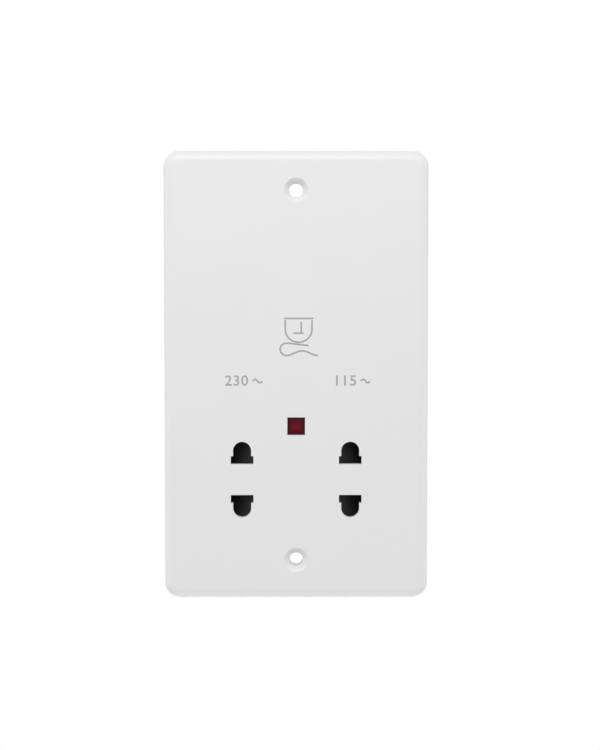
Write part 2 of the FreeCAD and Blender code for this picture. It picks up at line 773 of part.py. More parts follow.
def cut_slots(group, spots, top, length):
    """A screwdriver slot across the end of each screw in a group."""
    slots = [block(u, v, length, "screw_slot") for u, v in spots]
    pocket(group, "slots", FRONT, f"{top} - screw_slot_depth", top, *slots)


def cover_screws():
    """Slotted screws that hold the ears of the rear cover to the plate."""
    spots = [(f"{side}ear_side", "ear_z") for side in SIDES]
    group = shanks("cover_screws", spots, "-screw_grip", "ear_thick", "screw_shank")
    top = "ear_thick + screw_head_thick"
    pad(group, "heads", FRONT, "ear_thick", top, *[circle(u, v, "screw_head") for u, v in spots])
    cut_slots(group, spots, top, "screw_head")
    return group


def clamp_screws():
    """Hexagon-head screws that hold the feet of the core clamp to their posts."""
    spots = [(f"{side}foot_x", "core_mid_z") for side in SIDES]
    group = shanks("clamp_screws", spots, "clamp_seat - screw_grip", "core_front", "screw_shank")
    heads = [hexagon(u, v, "screw_head") for u, v in spots]
    pad(group, "heads", FRONT, "core_front", "core_front + screw_head_thick", *heads)
    return group


def terminal_screws():
    """Slotted clamping screws without wider heads, one in each terminal."""
    spots = [(u, "terminal_z") for u in TERMINALS.values()]
    tip = "terminal_bore_y + terminal_bore / 2 + clamping_tip_gap"
    top = "terminal_back + clamping_reach"
    group = shanks("terminal_screws", spots, tip, top, "clamping_shank")
    cut_slots(group, spots, top, "clamping_shank")
    return group


def transformer_core():
    """A stack of laminations with two windows around the middle limb."""
    core = new_body("transformer_core")
    windows = blocks("1.5 * limb_half_width", "core_mid_z", "limb_half_width", "3 * limb_half_width")
    outline = box("-core_half", "core_half", "core_low", "core_top")
    pad(core, "stack", FRONT, "core_front", "core_back", outline, *windows)
    return core


def loop_around(half_x, half_y):
    """The limits of an outline around the middle limb, seen from above."""
    return f"-{half_x}", half_x, f"core_middle - {half_y}", f"core_middle + {half_y}"


def transformer_bobbin():
    """A two-chamber coil former that keeps the windings apart."""
    bobbin = new_body("transformer_bobbin")
    limb, flange = box(*loop_around(LIMB_X, LIMB_Y)), box(*loop_around(FLANGE_X, "coil_half"))
    pad(bobbin, "tube", PLAN, COIL_LOW, COIL_HIGH, box(*loop_around(TUBE_X, TUBE_Y)), limb)
    starts = (COIL_LOW, "core_mid_z - bobbin_wall / 2", f"{COIL_HIGH} - bobbin_wall")
    for name, start in zip(("low_flange", "barrier", "top_flange"), starts):
        pad(bobbin, name, PLAN, start, f"{start} + bobbin_wall", flange, limb)
    return bobbin


def bobbin_pins():
    """Solder pins in a row under the rear edge of the coil former."""
    pins = new_body("bobbin_pins")
    y = "core_middle + coil_half - pin_inset"
    spots = [block(f"{row} * pin_pitch", y, "pin_width", "pin_width") for row in PIN_ROWS]
    pad(pins, "row", PLAN, f"{COIL_LOW} - pin_length", COIL_LOW, *spots)
    return pins


def chamber(upper):
    """The heights between which one winding lies."""
    if upper:
        return "core_mid_z + bobbin_wall / 2 + wrap_fit", f"{COIL_HIGH} - bobbin_wall - wrap_fit"
    return f"{COIL_LOW} + bobbin_wall + wrap_fit", "core_mid_z - bobbin_wall / 2 - wrap_fit"


def wrap(inset):
    """The bevelled outline of a coil, a given inset inside the edge of the flanges."""
    return bevelled(*loop_around(f"({FLANGE_X} - {inset})", f"(coil_half - {inset})"), "tape_bevel")


def winding(label, upper):
    """A wound coil in its chamber."""
    coil = new_body(label)
    tube = box(*loop_around(f"({TUBE_X} + wrap_fit)", f"({TUBE_Y} + wrap_fit)"))
    pad(coil, "turns", PLAN, *chamber(upper), wrap("(tape_inset + tape_thick + wrap_fit)"), tube)
    return coil


def winding_tape(label, upper):
    """The insulating tape wrapped around a winding."""
    tape = new_body(label)
    pad(tape, "wrap", PLAN, *chamber(upper), wrap("tape_inset"), wrap("(tape_inset + tape_thick)"))
    return tape


def core_clamp():
    """A bent steel strap over the sides and top of the core, with lips and two feet for screws."""
    clamp = new_body("core_clamp")
    strap = [
        ("-clamp_half", "core_low"),
        ("-core_half", "core_low"),
        ("-core_half", "core_top"),
        ("core_half", "core_top"),
        ("core_half", "core_low"),
        ("clamp_half", "core_low"),
        ("clamp_half", "core_top + clamp_sheet"),
        ("-clamp_half", "core_top + clamp_sheet"),
    ]
    pad(clamp, "strap", FRONT, "clamp_seat", "core_back", strap)
    lip_width = "(clamp_lip + clamp_sheet)"
    lips = blocks(f"(clamp_half - {lip_width} / 2)", "core_mid_z", lip_width, "clamp_lip_height")
    pad(clamp, "front_lips", FRONT, "clamp_seat", "core_front", *lips)
    pad(clamp, "back_lips", FRONT, "core_back", "core_back + clamp_sheet", *lips)
    feet = blocks("foot_x", "core_mid_z", "foot_width", "foot_height")
    pad(clamp, "feet", FRONT, "clamp_seat", "core_front", *feet)
    notch_x = "(foot_end + foot_x - screw_clear / 2) / 2"
    notches = blocks(f"({notch_x})", "core_mid_z", "foot_end - foot_x + screw_clear / 2", "screw_clear")
    pocket(clamp, "foot_notches", FRONT, "clamp_seat", "core_front", *notches)
    return clamp


def thermal_cutout():
    """A flat overheat cut-out bound to the front of the primary winding."""
    cutout = new_body("thermal_cutout")
    back = "core_middle - coil_half + tape_inset - wrap_fit"
    low, high = chamber(upper=False)
    middle = f"(({low}) + ({high})) / 2"
    ends = (f"{middle} - cutout_height / 2", f"{middle} + cutout_height / 2")
    outline = bevelled("-cutout_width / 2", "cutout_width / 2", *ends, "cutout_corner")
    pad(cutout, "case", FRONT, f"{back} - cutout_thick", back, outline)
    return cutout


def screw_ear(side):
    """One ear beyond the top of the rear cover, round at its tip."""
    left, right = ear_span(side)
    half = "ear_width / 2"
    return [
        (left, "cover_end_in"),
        (right, "cover_end_in"),
        (right, "ear_z", half),
        (f"{side}ear_side", f"ear_z + {half}", half),
        (left, "ear_z"),
    ]


def rear_cover():
    """The moulded cover: shallow behind the outlets, deep behind the transformer, with vents."""
    cover = new_body("rear_cover")
    outer, inner = ("-cover_half", "cover_half"), ("-cover_half_in", "cover_half_in")
    low_shell = rounded(*outer, "-cover_end", "cover_end", "cover_corner")
    pad(cover, "low_shell", FRONT, "0", "low_roof", low_shell)
    dress_level(cover, "Chamfer", "low_edge", "low_roof", "cover_bevel")
    high_shell = rounded(*outer, "step_z", "cover_end", "cover_corner")
    pad(cover, "high_shell", FRONT, "0", "high_roof", high_shell)
    dress_level(cover, "Chamfer", "high_edge", "high_roof", "cover_bevel")
    pocket(cover, "low_hollow", FRONT, "0", "low_roof_in", housing_inside())
    high_inside = rounded(*inner, "step_z + cover_wall", "cover_end_in", "cover_corner - cover_wall")
    pocket(cover, "high_hollow", FRONT, "low_roof_in", "high_roof_in", high_inside)
    pad(cover, "ears", FRONT, "0", "ear_thick", *[screw_ear(side) for side in SIDES])
    pocket(cover, "ear_holes", FRONT, "0", "ear_thick", *pair("ear_side", "ear_z", "screw_clear"))
    tongues = [box(*ear_span(side), "-(cover_end + tongue_reach)", "-cover_end_in") for side in SIDES]
    pad(cover, "tongues", FRONT, "0", "ear_thick", *tongues)
    peg_x = "(retainer_half - peg_width / 2)"
    peg_rows = [f"outlet_z {way} (retainer_half_height - peg_width / 2)" for way in ("-", "+")]
    pegs = [peg for row in peg_rows for peg in blocks(peg_x, row, "peg_width", "peg_width")]
    pad(cover, "pegs", FRONT, "retainer_back", "low_roof_in", *pegs)
    cover_openings(cover)
    return cover


def cover_openings(cover):
    """Vents over the transformer, lead holes under the terminals and slots for the hooks of their block."""
    roof_vents, side_vents = [], []
    for row in VENT_ROWS:
        roof_vents.append(block("0", f"core_mid_z + {row} * vent_pitch", "2 * vent_side", "vent_height"))
    pocket(cover, "roof_vents", FRONT, "high_roof_in", "high_roof", *roof_vents)
    for row in SIDE_VENT_ROWS:
        level = f"core_mid_z + {row} * vent_pitch"
        side_vents.append(block("core_middle", level, "vent_depth", "vent_height"))
    pocket(cover, "side_vents", SIDE, "-cover_half", "cover_half", *side_vents)
    slot_x = f"({HOOK_X} - hook_barb / 2)"
    slot_size = ("hook_thick + hook_barb + 2 * hook_fit", "hook_width + 2 * hook_fit")
    slots = blocks(slot_x, "terminal_z", *slot_size)
    pocket(cover, "terminal_holes", FRONT, "low_roof_in", "low_roof", *lead_holes(), *slots)


def lead_holes():
    """The holes that let the inner leads through to the terminals."""
    return [block(u, "terminal_z", "lead_hole", "lead_hole") for u in TERMINALS.values()]


def terminal_block():
    """The comb that holds the supply terminals apart: open below for the wires, hooked into the cover."""
    holder = new_body("terminal_block")
    half_height = "(terminal_height / 2 + terminal_fit)"
    low, high = f"terminal_z - {half_height}", f"terminal_z + {half_height}"
    wide = f"({COMB_HALF} + terminal_ear)"
    top = f"{high} + terminal_wall"
    pad(holder, "base", FRONT, "low_roof", TERMINAL_SEAT, box(f"-{wide}", wide, low, top))
    comb = [(COMB_HALF, top), (f"-{COMB_HALF}", top), (f"-{COMB_HALF}", low)]
    for u in TERMINALS.values():
        comb += [(f"{u} - {CELL_HALF}", low), (f"{u} - {CELL_HALF}", high)]
        comb += [(f"{u} + {CELL_HALF}", high), (f"{u} + {CELL_HALF}", low)]
    comb.append((COMB_HALF, low))
    pad(holder, "comb", FRONT, TERMINAL_SEAT, "terminal_back", comb)
    pocket(holder, "lead_holes", FRONT, "low_roof", TERMINAL_SEAT, *lead_holes())
    legs = blocks(HOOK_X, "terminal_z", "hook_thick", "hook_width")
    pad(holder, "legs", FRONT, "low_roof_in - hook_length", "low_roof", *legs)
    barb_x = f"({HOOK_X} + (hook_thick + hook_barb) / 2)"
    barbs = blocks(barb_x, "terminal_z", "hook_barb", "hook_width")
    pad(holder, "barbs", FRONT, "low_roof_in - hook_length", "low_roof_in", *barbs)
    return holder


def supply_terminal(label, u):
    """A brass tunnel terminal: the wire comes up its bore and a screw from behind clamps it."""
    terminal = new_body(label)
    outline = block(u, "terminal_z", "terminal_width", "terminal_height")
    pad(terminal, "body", FRONT, TERMINAL_SEAT, "terminal_back", outline)
    ends = ("terminal_z - terminal_height / 2", "terminal_z + terminal_height / 2")
    pocket(terminal, "tunnel", PLAN, *ends, circle(u, "terminal_bore_y", "terminal_bore"))
    thread = circle(u, "terminal_z", "clamping_hole")
    pocket(terminal, "thread", FRONT, "terminal_bore_y", "terminal_back", thread)
    return terminal


def write_parts(parts):
    """Write each sub-part to its own file once every object in the document is sound."""
    doc.recompute()
    failed = [item.Name for item in doc.Objects if {"Invalid", "Error"} & set(item.State)]
    unsound = [part.Label for part in parts if part.Shape.isNull() or not part.Shape.isValid()]
    if failed or unsound:
        raise ValueError(f"failed objects {failed}, unsound shapes {unsound}")
    os.makedirs("parts", exist_ok=True)
    for part in parts:
        part.Shape.exportStep(f"parts/{part.Label}.step")


write_parts(
    [
        face_plate(),
        indicator_lens(),
        neon_lamp(),
        neon_resistor(),
        shutter_slider(),
        return_spring("return_spring_left", "-"),
        return_spring("return_spring_right", ""),
        contact_block(),
        outlet_contact("contact_230v", "-"),
        outlet_contact("contact_115v", ""),
        contact_common(),
        contact_retainer(),
        transformer_core(),
        transformer_bobbin(),
        bobbin_pins(),
        winding("primary_winding", upper=False),
        winding("secondary_winding", upper=True),
        winding_tape("primary_tape", upper=False),
        winding_tape("secondary_tape", upper=True),
        core_clamp(),
        thermal_cutout(),
        rear_cover(),
        terminal_block(),
        *[supply_terminal(label, u) for label, u in TERMINALS.items()],
        cover_screws(),
        clamp_screws(),
        terminal_screws(),
    ]
)
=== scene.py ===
import json
import math

import bpy
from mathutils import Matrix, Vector


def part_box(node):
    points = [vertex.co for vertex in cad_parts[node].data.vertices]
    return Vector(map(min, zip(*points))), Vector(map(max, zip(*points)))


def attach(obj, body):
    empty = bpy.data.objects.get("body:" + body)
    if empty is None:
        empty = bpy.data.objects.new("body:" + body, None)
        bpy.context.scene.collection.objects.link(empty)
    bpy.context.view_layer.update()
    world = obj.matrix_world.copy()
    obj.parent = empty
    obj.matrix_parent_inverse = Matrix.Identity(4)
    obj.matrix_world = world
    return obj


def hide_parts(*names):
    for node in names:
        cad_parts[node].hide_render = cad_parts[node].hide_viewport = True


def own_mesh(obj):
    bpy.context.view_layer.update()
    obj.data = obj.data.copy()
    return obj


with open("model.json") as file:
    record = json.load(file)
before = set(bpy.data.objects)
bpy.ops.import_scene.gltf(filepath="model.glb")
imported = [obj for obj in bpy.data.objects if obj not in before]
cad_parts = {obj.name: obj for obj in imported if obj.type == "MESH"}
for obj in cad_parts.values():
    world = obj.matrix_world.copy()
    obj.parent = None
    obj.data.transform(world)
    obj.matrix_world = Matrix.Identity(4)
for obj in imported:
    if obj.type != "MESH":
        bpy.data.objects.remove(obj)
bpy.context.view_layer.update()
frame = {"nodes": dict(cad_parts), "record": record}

MM = 0.001
NODES = frame["nodes"]
HOUSING = "housing"

# Printed marks, in millimetres.
PRINT_LINE = 0.55
PRINT_THICK = 0.006
PRINT_BOLD = 0.06

# The number of each outlet stands over its own contact and has a wave behind it.
NUMBERS = {"230": "contact_230v", "115": "contact_115v"}
NUMBER_SHIFT = -1.75
NUMBER_RISE = 14.75
NUMBER_HEIGHT = 3.4
NUMBER_SPREAD = 1.12
DIGIT_SHARE = 0.72
WAVE_GAP = 1.5
WAVE_LENGTH = 3.1
WAVE_HEIGHT = 0.55

# The sign of a shaver over the lens: its place, and its strokes from the middle of its bowl.
SIGN_SHIFT = 0.8
SIGN_RISE = 31.0
BOWL_WIDTH = 8.7
BOWL_HEIGHT = 7.2
BOWL_ROUND = 0.6
HEAD = (-4.8, 4.8)
SLIDE_X = 0.85
BUTTON = (-1.7, 1.6)
BUTTON_Z = -0.65
CORD_ENDS = (3.2, 6.3)
CORD_LEFT = -4.0
CORD_GAP = 0.65
CORD_DROP = 4.0
CORD_WAVES = (0.35, 0.75)
SLIDE_GAP = 0.6 * PRINT_LINE
QUARTER_TURN, HALF_TURN, WHOLE_TURN = 0.25, 0.5, 1.0

# Fine structure of the finishes, in millimetres.
# Out from the lens's middle: where its painted shade sets in and is full, and its walls, smooth and
# shaded most.
LENS_SHADE_SPREAD = (0.2, 2.0)
LENS_WALL = (1.75, 2.4)
LENS_PYRAMID = 1.5
BAND_PITCH = 1.4
BANDS = 4
WIRE_PITCH = 0.52
TAPE_PITCH = 3.4
SHEET_PITCH = 0.5

# Where a pattern sets in and where it is full, as values of its own noise or share of its pitch.
TARNISH_SPREAD = (0.45, 0.75)
SMOKE_SPREAD = (0.35, 0.75)
BAND_EDGE = (0.2, 0.16)
FIRST_BAND_END = (0.9, 1.1)
# Painted shade at the foot of each tape wrap's step, under the overlapping edge.
WRAP_SHADE_SPREAD = (0.0, 0.12)
SHEET_EDGE = (0.36, 0.5)
RUST_SPREAD = (0.56, 0.8)

# Values of the shaders, and the colours of the finishes that have a pattern of their own.
NOISE_ROUGH = 0.55
PLASTIC_IOR = 1.5
GLASS_IOR = 1.5
# The lens's own red in its middle, and reds painted darker as shade at its edge and over its walls.
LENS_MIDDLE, LENS_EDGE_SHADE, LENS_WALL_SHADE = (0.165, 0.007, 0.014), (0.1, 0.005, 0.011), (0.06, 0.011, 0.014)
GLASS_CLEAR, GLASS_SMOKE = (0.95, 0.88, 0.82), (0.55, 0.42, 0.34)
RESISTOR_BODY, FIRST_BAND, NEXT_BANDS = (0.52, 0.36, 0.2), (0.42, 0.06, 0.03), (0.05, 0.04, 0.03)
# Copper of the wire, and a darker copper painted as shade in the grooves between turns.
COPPER_GROOVE_SHADE, COPPER_BRIGHT = (0.24, 0.08, 0.03), (0.62, 0.27, 0.11)
# The tape's own yellow, and a darker yellow painted as shade at the foot of each step between
# wraps.
TAPE_STEP_SHADE, TAPE_FACE = (0.5, 0.34, 0.05), (0.78, 0.6, 0.12)
STEEL, RUST, SHEET_GAP = (0.11, 0.11, 0.115), (0.16, 0.09, 0.055), (0.03, 0.03, 0.032)
INK_FULL, INK_THIN = (0.36, 0.36, 0.365), (0.42, 0.42, 0.425)

# Moulded plastics with a fine skin, plastics from a sparked mould, and brushed metals.
PLASTICS = {
    "plate_white": {
        "colour": (0.84, 0.84, 0.84), "shade": (0.82, 0.82, 0.82),
        "rough": 0.4, "grain": 0.7, "depth": 0.004,
    },
    "shutter_black": {
        "colour": (0.048, 0.048, 0.049), "shade": (0.055, 0.055, 0.056),
        "rough": 0.5, "grain": 0.5, "depth": 0.01,
    },
    "bobbin_nylon": {
        "colour": (0.05, 0.05, 0.055), "shade": (0.075, 0.075, 0.08),
        "rough": 0.42, "grain": 0.6, "depth": 0.01,
    },
    "cutout_black": {
        "colour": (0.026, 0.026, 0.028), "shade": (0.04, 0.04, 0.042),
        "rough": 0.4, "grain": 0.4, "depth": 0.01,
    },
}
SPARKED_PLASTICS = {
    "block_black": {"colour": (0.018, 0.018, 0.019), "shade": (0.028, 0.028, 0.029), "rough": 0.5},
    "cover_grey": {"colour": (0.57, 0.57, 0.56), "shade": (0.5, 0.5, 0.49), "rough": 0.46},
    "terminal_white": {"colour": (0.76, 0.76, 0.74), "shade": (0.7, 0.7, 0.68), "rough": 0.42},
}
ALONG_X, ALONG_Y, ALONG_Z = (0.06, 1, 1), (1, 0.06, 1), (1, 1, 0.06)
METALS = {
    "spring_steel": {
        "colour": (0.56, 0.56, 0.58), "tarnish": (0.4, 0.37, 0.33),
        "rough": 0.25, "brush": ALONG_Z,
    },
    "contact_brass": {
        "colour": (0.76, 0.55, 0.25), "tarnish": (0.5, 0.33, 0.13),
        "rough": 0.25, "brush": ALONG_Y,
    },
    "terminal_brass": {
        "colour": (0.76, 0.55, 0.25), "tarnish": (0.5, 0.33, 0.13),
        "rough": 0.22, "brush": ALONG_Z,
    },
    "pin_tin": {
        "colour": (0.68, 0.68, 0.67), "tarnish": (0.5, 0.49, 0.46),
        "rough": 0.3, "brush": ALONG_Z,
    },
    "clamp_zinc": {
        "colour": (0.62, 0.63, 0.65), "tarnish": (0.5, 0.49, 0.42),
        "rough": 0.3, "brush": ALONG_Z,
    },
    "screw_zinc": {
        "colour": (0.62, 0.63, 0.65), "tarnish": (0.46, 0.46, 0.46),
        "rough": 0.24, "brush": ALONG_X,
    },
    "screw_nickel": {
        "colour": (0.7, 0.68, 0.63), "tarnish": (0.52, 0.5, 0.45),
        "rough": 0.2, "brush": ALONG_X,
    },
}

# Camera, in metres, with the lens and sensor in millimetres.
CAMERA_PLACE = (-0.0041, -0.7, 0.0491)
CAMERA_TARGET = (0.0013, 0.0, -0.0001)
CAMERA_LENS = 102.5
SENSOR_HEIGHT = 36

# Light: a sky that is brightest in front, and lamps, with lengths in metres and power in watts.
WHITE = (1.0, 1.0, 1.0, 1.0)
WHITE_LEVEL = 1.0
LAMP_TARGET = (0, 0, 0)
SEEN_RAYS = ("Is Camera Ray", "Is Glossy Ray", "Is Transmission Ray")
SKY_FLOOR = 0.12
SKY_FRONT = 0.68
SKY_CEILING = 0.34
FLOOR_RAMP = (-1.0, 0.3)
CEILING_RAMP = (0.4, 1.0)
LAMPS = {
    "top_lamp": {"place": (-0.05, -0.5, 0.4), "size": 0.4, "power": 1.97},
    "low_lamp": {"place": (0.0, 0.0, -0.45), "size": 0.5, "power": 1.2},
    "left_lamp": {"place": (-0.45, 0.0, 0.0), "size": 0.5, "power": 0.47},
    "right_lamp": {"place": (0.45, 0.0, 0.0), "size": 0.5, "power": 0.53},
}


class Socket:
    """One output of a shader node. Arithmetic on it adds Math nodes to its tree."""

    def __init__(self, tree, output):
        self.tree = tree
        self.output = output

    def math(self, operation, *operands):
        """A Math node of the given operation."""
        inputs = dict(enumerate(operands))
        return add_node(self.tree, "ShaderNodeMath", {"operation": operation}, inputs)

    def __add__(self, other):
        return self.math("ADD", self, other)

    def __radd__(self, other):
        return self.math("ADD", other, self)

    def __sub__(self, other):
        return self.math("SUBTRACT", self, other)

    def __rsub__(self, other):
        return self.math("SUBTRACT", other, self)

    def __mul__(self, other):
        return self.math("MULTIPLY", self, other)

    def __rmul__(self, other):
        return self.math("MULTIPLY", other, self)

    def __truediv__(self, other):
        return self.math("DIVIDE", self, other)

    def __rtruediv__(self, other):
        return self.math("DIVIDE", other, self)

    def __abs__(self):
        return self.math("ABSOLUTE", self)

    def sine(self):
        """The sine of the value."""
        return self.math("SINE", self)

    def fraction(self):
        """The part of the value behind the point."""
        return self.math("FRACT", self)

    def larger(self, other):
        """The larger of two values."""
        return self.math("MAXIMUM", self, other)

    def ramp(self, low, high):
        """A smooth step from 0 to 1 while the value goes from low to high."""
        settings = {"interpolation_type": "SMOOTHSTEP"}
        inputs = {"Value": self, "From Min": low, "From Max": high}
        return add_node(self.tree, "ShaderNodeMapRange", settings, inputs)


def add_node(tree, kind, settings, inputs, output=0):
    """Add a node: its settings first, then a value or a link for each named socket."""
    node = tree.nodes.new(kind)
    for name, setting in settings.items():
        setattr(node, name, setting)
    for name, given in inputs.items():
        feed(tree, node.inputs[name], given)
    return Socket(tree, node.outputs[output])


def feed(tree, target, given):
    """Link a socket to an input, or set the input to a plain value."""
    if isinstance(given, Socket):
        tree.links.new(given.output, target)
    else:
        target.default_value = given


def as_colour(given):
    """A colour socket, or three numbers with a full alpha."""
    return given if isinstance(given, Socket) else (*given, 1.0)


class Finish:
    """A material in the making, with textures in millimetres of the part's own frame."""

    def __init__(self, name, **constants):
        self.material = bpy.data.materials.new(name)
        self.material.use_nodes = True
        self.tree = self.material.node_tree
        self.shader = self.tree.nodes["Principled BSDF"]
        self.set(**constants)
        place = add_node(self.tree, "ShaderNodeTexCoord", {}, {}, output="Object")
        self.place = self.stretched(place, (1 / MM, 1 / MM, 1 / MM))

    def set(self, **values):
        """Set or link sockets of the surface shader, named with underscores for spaces."""
        for name, given in values.items():
            feed(self.tree, self.shader.inputs[name.replace("_", " ")], given)

    def stretched(self, vector, factors):
        """A vector with each coordinate multiplied by its own factor."""
        settings = {"operation": "MULTIPLY"}
        return add_node(self.tree, "ShaderNodeVectorMath", settings, {0: vector, 1: factors})

    def axis(self, name):
        """One coordinate in millimetres."""
        return add_node(self.tree, "ShaderNodeSeparateXYZ", {}, {0: self.place}, output=name)

    def noise(self, size, detail=2.0, stretch=(1, 1, 1)):
        """Soft noise from 0 to 1 with features of about the given size in millimetres."""
        place = self.stretched(self.place, stretch)
        inputs = {"Vector": place, "Scale": 1 / size, "Detail": detail, "Roughness": NOISE_ROUGH}
        settings = {"noise_dimensions": "3D"}
        return add_node(self.tree, "ShaderNodeTexNoise", settings, inputs, output="Fac")

    def grains(self, size):
        """Cells like a sparked mould surface: the distance to the nearest cell's middle."""
        inputs = {"Vector": self.place, "Scale": 1 / size}
        return add_node(self.tree, "ShaderNodeTexVoronoi", {}, inputs, output="Distance")

    def mix(self, factor, first, second):
        """A colour between two colours."""
        inputs = {0: factor, 6: as_colour(first), 7: as_colour(second)}
        return add_node(self.tree, "ShaderNodeMix", {"data_type": "RGBA"}, inputs, output=2)

    def bump(self, height, depth):
        """Tilt the surface by a height map whose full range is the given depth in millimetres."""
        inputs = {"Strength": 1.0, "Distance": depth * MM, "Height": height}
        self.set(Normal=add_node(self.tree, "ShaderNodeBump", {}, inputs))


def middle(node):
    """The middle of a CAD node's box, in millimetres."""
    low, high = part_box(node)
    return (low + high) / 2 / MM


def plastic(name, colour, shade, rough, grain, depth):
    """Moulded plastic: a colour that drifts a little, uneven gloss and a fine skin."""
    finish = Finish(name, IOR=PLASTIC_IOR)
    drift = finish.noise(size=22, detail=3)
    finish.set(Base_Color=finish.mix(drift, colour, shade))
    finish.set(Roughness=rough + 0.07 * finish.noise(size=3.5, detail=4))
    finish.bump(finish.noise(grain, detail=3) + 0.35 * finish.noise(grain * 9), depth)
    return finish.material


def sparked_plastic(name, colour, shade, rough):
    """Plastic from a sparked mould, with grains all over."""
    finish = Finish(name, IOR=PLASTIC_IOR)
    grains = finish.grains(size=0.32)
    drift = 0.6 * finish.noise(size=14, detail=4) + 0.3 * grains
    finish.set(Base_Color=finish.mix(drift, colour, shade))
    finish.set(Roughness=rough + 0.12 * grains)
    finish.bump(grains + 0.6 * finish.noise(size=1.6, detail=3), depth=0.035)
    return finish.material


def metal(name, colour, tarnish, rough, brush):
    """Plated or rolled metal with brush marks along one direction and a touch of tarnish."""
    finish = Finish(name, Metallic=1.0)
    lines = finish.noise(size=0.5, detail=3, stretch=brush)
    dulled = finish.noise(size=5, detail=5).ramp(*TARNISH_SPREAD)
    finish.set(Base_Color=finish.mix(dulled, colour, tarnish))
    finish.set(Roughness=rough + 0.2 * lines)
    finish.bump(lines, depth=0.006)
    return finish.material


def lens_red(name):
    """Clear dark red plastic with painted shade, darker out to its edge and over its walls."""
    finish = Finish(name, IOR=1.49, Specular_IOR_Level=0.05)
    across = abs(finish.axis("X") - middle("indicator_lens").x)
    up = finish.axis("Z") - middle("indicator_lens").z
    out = across.larger(abs(up))
    # Painted shade: the red darkens out to the edge and most over the walls, which the recess
    # shades.
    wall = out.ramp(*LENS_WALL)
    shaded_red = finish.mix(out.ramp(*LENS_SHADE_SPREAD), LENS_MIDDLE, LENS_EDGE_SHADE)
    finish.set(Base_Color=finish.mix(wall, shaded_red, LENS_WALL_SHADE))
    finish.set(Roughness=0.16 + 0.1 * finish.noise(size=0.8, detail=3))
    turn = math.tau / LENS_PYRAMID
    pyramids = (across * turn).sine() * (up * turn).sine()
    finish.bump(pyramids * (1 - wall), depth=0.05)
    return finish.material


def lamp_glass(name):
    """The neon lamp's glass, a little smoky towards its foot."""
    finish = Finish(name, IOR=GLASS_IOR, Transmission_Weight=0.85)
    tip, foot = (corner.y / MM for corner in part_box("neon_lamp"))
    smoke = ((finish.axis("Y") - tip) / (foot - tip)).ramp(*SMOKE_SPREAD)
    finish.set(Base_Color=finish.mix(smoke, GLASS_CLEAR, GLASS_SMOKE))
    finish.set(Roughness=0.03 + 0.1 * finish.noise(size=1.2, detail=3))
    return finish.material


def resistor_tan(name):
    """A lacquered resistor with four plain colour bands, the first of another colour."""
    finish = Finish(name, IOR=PLASTIC_IOR)
    along = (finish.axis("X") - middle("neon_resistor").x) / BAND_PITCH + BANDS / 2
    band = abs(along.fraction() - 0.5).ramp(*BAND_EDGE)
    hue = finish.mix(along.ramp(*FIRST_BAND_END), FIRST_BAND, NEXT_BANDS)
    finish.set(Base_Color=finish.mix(band, RESISTOR_BODY, hue))
    finish.set(Roughness=0.3 + 0.15 * finish.noise(size=0.7, detail=3))
    finish.bump(finish.noise(size=0.6), depth=0.02)
    return finish.material


def wire_turns(finish):
    """The height of fine wire in turns stacked along the limb, from 0 to 1."""
    return abs((finish.axis("Z") * (math.pi / WIRE_PITCH)).sine())


def winding_copper(name):
    """Enamelled wire in fine turns, with painted shade darkening the grooves between them."""
    finish = Finish(name, Metallic=1.0)
    turns = wire_turns(finish)
    # Painted shade: darker copper where the wire is lowest, in the grooves between turns.
    finish.set(Base_Color=finish.mix(turns, COPPER_GROOVE_SHADE, COPPER_BRIGHT))
    finish.set(Roughness=0.28 + 0.12 * finish.noise(size=1.5, detail=3))
    finish.bump(turns, depth=0.08)
    return finish.material


def tape_yellow(name):
    """Film tape in overlapping wraps, turns below showing through, painted shade under each step.
    """
    finish = Finish(name, IOR=PLASTIC_IOR, Coat_Weight=0.3)
    wraps = (finish.axis("Z") / TAPE_PITCH + 0.05 * finish.noise(size=8)).fraction()
    # Painted shade: a darker yellow at the foot of each step, where the overlapping wrap's edge
    # shades the tape.
    finish.set(Base_Color=finish.mix(wraps.ramp(*WRAP_SHADE_SPREAD), TAPE_STEP_SHADE, TAPE_FACE))
    finish.set(Roughness=0.25 + 0.15 * finish.noise(size=2.5, detail=3))
    finish.bump(wraps + 0.3 * wire_turns(finish) + 0.4 * finish.noise(size=3), depth=0.06)
    return finish.material


def core_steel(name):
    """Varnished laminations, stacked into the wall, with rust here and there."""
    finish = Finish(name, IOR=PLASTIC_IOR, Coat_Weight=0.2)
    sheets = (finish.axis("Y") / SHEET_PITCH).fraction()
    gap = abs(sheets - 0.5).ramp(*SHEET_EDGE)
    rust = finish.noise(size=4, detail=5).ramp(*RUST_SPREAD)
    steel = finish.mix(rust, STEEL, RUST)
    finish.set(Base_Color=finish.mix(gap, steel, SHEET_GAP))
    finish.set(Metallic=0.55 - 0.4 * rust)
    finish.set(Roughness=0.4 + 0.2 * finish.noise(size=1.5, detail=4))
    finish.bump(finish.noise(size=1.2, detail=3) - 2 * gap, depth=0.06)
    return finish.material


def print_grey(name):
    """The grey ink of the printed marks, slightly uneven."""
    finish = Finish(name, IOR=1.45)
    cover = finish.noise(size=0.6, detail=4)
    finish.set(Base_Color=finish.mix(cover, INK_FULL, INK_THIN))
    finish.set(Roughness=0.45 + 0.15 * finish.noise(size=0.4, detail=3))
    return finish.material


def make_materials():
    """The ink, and one finish for each material slot of the record."""
    single = (
        lens_red, lamp_glass, resistor_tan, winding_copper, tape_yellow, core_steel, print_grey,
    )
    materials = {maker.__name__: maker(maker.__name__) for maker in single}
    for maker, looks in ((plastic, PLASTICS), (sparked_plastic, SPARKED_PLASTICS), (metal, METALS)):
        for name, look in looks.items():
            materials[name] = maker(name, **look)
    return materials


